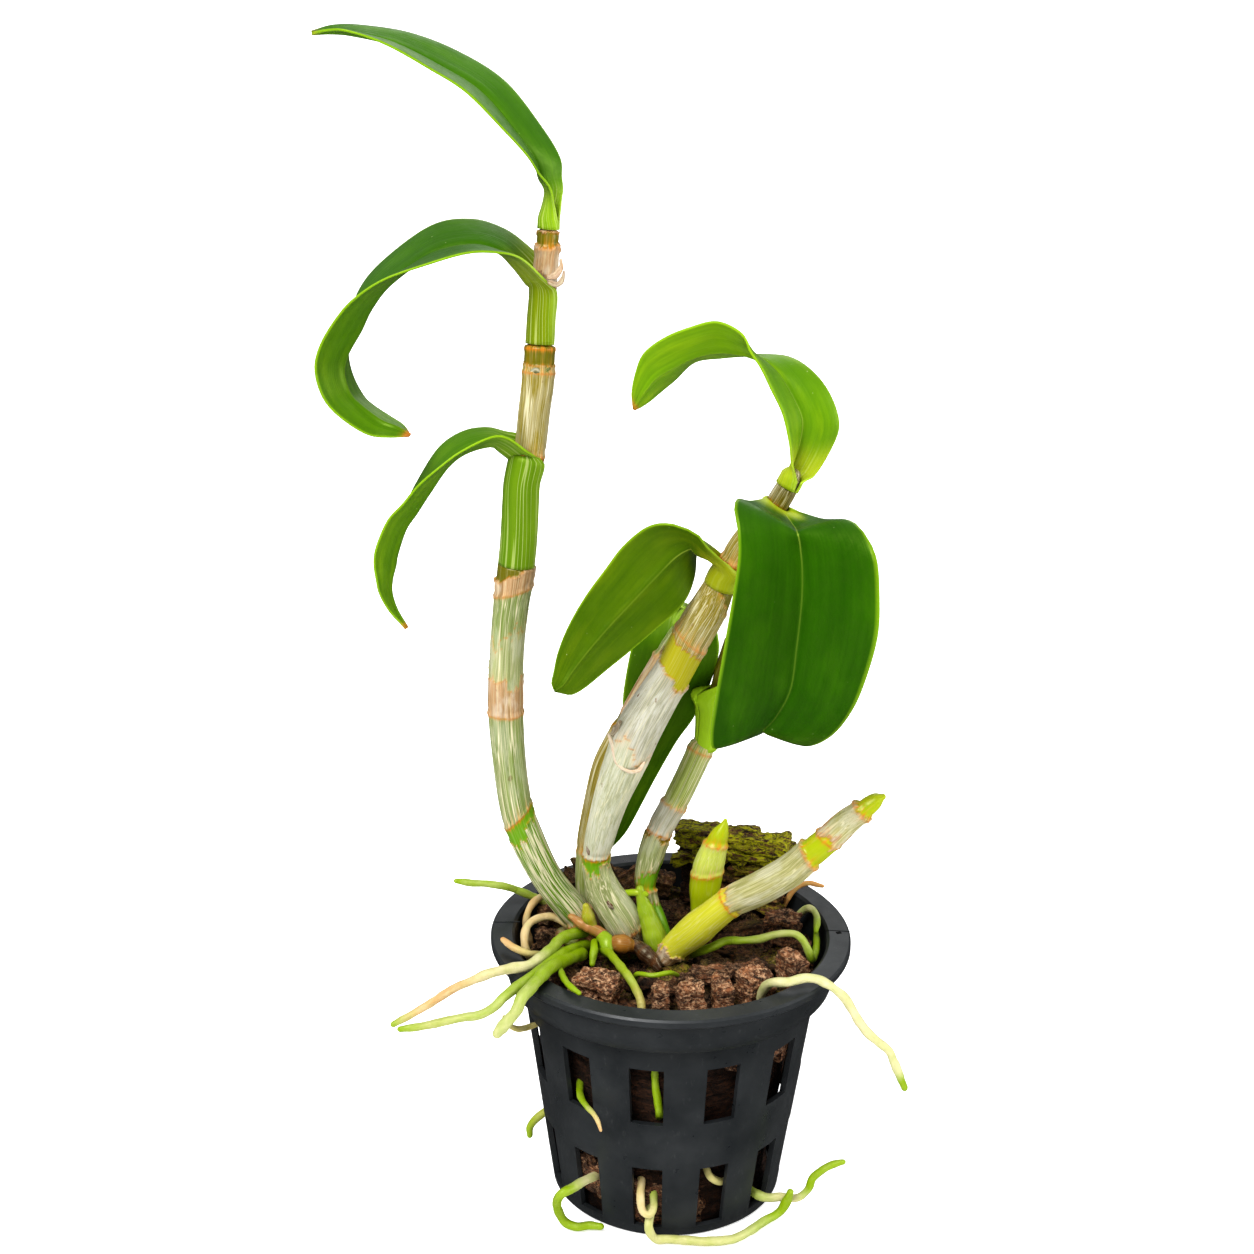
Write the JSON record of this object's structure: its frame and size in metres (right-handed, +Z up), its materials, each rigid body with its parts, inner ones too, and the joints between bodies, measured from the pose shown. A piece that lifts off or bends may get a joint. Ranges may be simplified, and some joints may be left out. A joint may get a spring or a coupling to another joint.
{
  "type": "potted dendrobium orchid",
  "caption": "Small orchid with ringed papery canes, arching strap leaves and aerial roots, growing in bark in a slotted plastic net pot.",
  "frame": {"origin": "centre of the underside of the pot, on the surface that it stands on", "axes": "+Z up out of the pot, +X to the right and -Y towards the viewer as the plant is pictured"},
  "size_m": [0.138, 0.09, 0.2869],
  "materials": {
    "pot": "satin, moulded",
    "bark_mix": "rough broken bark",
    "bark_chunk": "rough broken bark",
    "bark_mossy": "rough bark with moss",
    "cane": "papery dry sheath over green",
    "shoot": "smooth young growth",
    "root": "matt velamen",
    "leaf": "waxy"
  },
  "bodies": {
    "root": {"pot": "pot", "bark_fill": "bark_mix", "bark_mossy_back": "bark_mossy", "bark_golden_left": "bark_chunk", "bark_front_first": "bark_chunk", "bark_front_second": "bark_chunk", "bark_front_third": "bark_chunk", "bark_front_fourth": "bark_chunk", "bark_front_fifth": "bark_chunk", "bark_plate": "bark_chunk", "bark_block_right": "bark_chunk", "bark_small_right": "bark_chunk", "bark_sliver_left": "bark_chunk", "cane_tall": "cane", "cane_middle": "cane", "cane_right": "cane", "cane_hidden": "cane", "cane_young": "cane", "shoot_new": "shoot", "rhizome": "shoot", "leaf_tall_top": "leaf", "leaf_tall_middle": "leaf", "leaf_tall_low": "leaf", "leaf_middle_top": "leaf", "leaf_middle_front": "leaf", "leaf_middle_left": "leaf", "leaf_hidden": "leaf", "leaf_right": "leaf", "root_left_long_upper": "root", "root_left_long_lower": "root", "root_left_hanging": "root", "root_left_raised": "root", "root_left_under": "root", "root_loop_outer": "root", "root_loop_inner": "root", "root_stub_dry": "root", "root_front_green": "root", "root_front_thin": "root", "root_short_green": "root", "root_rim_small": "root", "root_right_across": "root", "root_right_inside": "root", "root_right_over": "root", "root_back_dark": "root", "root_foot_left": "root", "root_side_left": "root", "root_slot_tan": "root", "root_foot_front": "root", "root_foot_right": "root", "root_slot_upright": "root", "root_slot_tail": "root", "root_slot_cross": "root"}
  },
  "joints": []
}
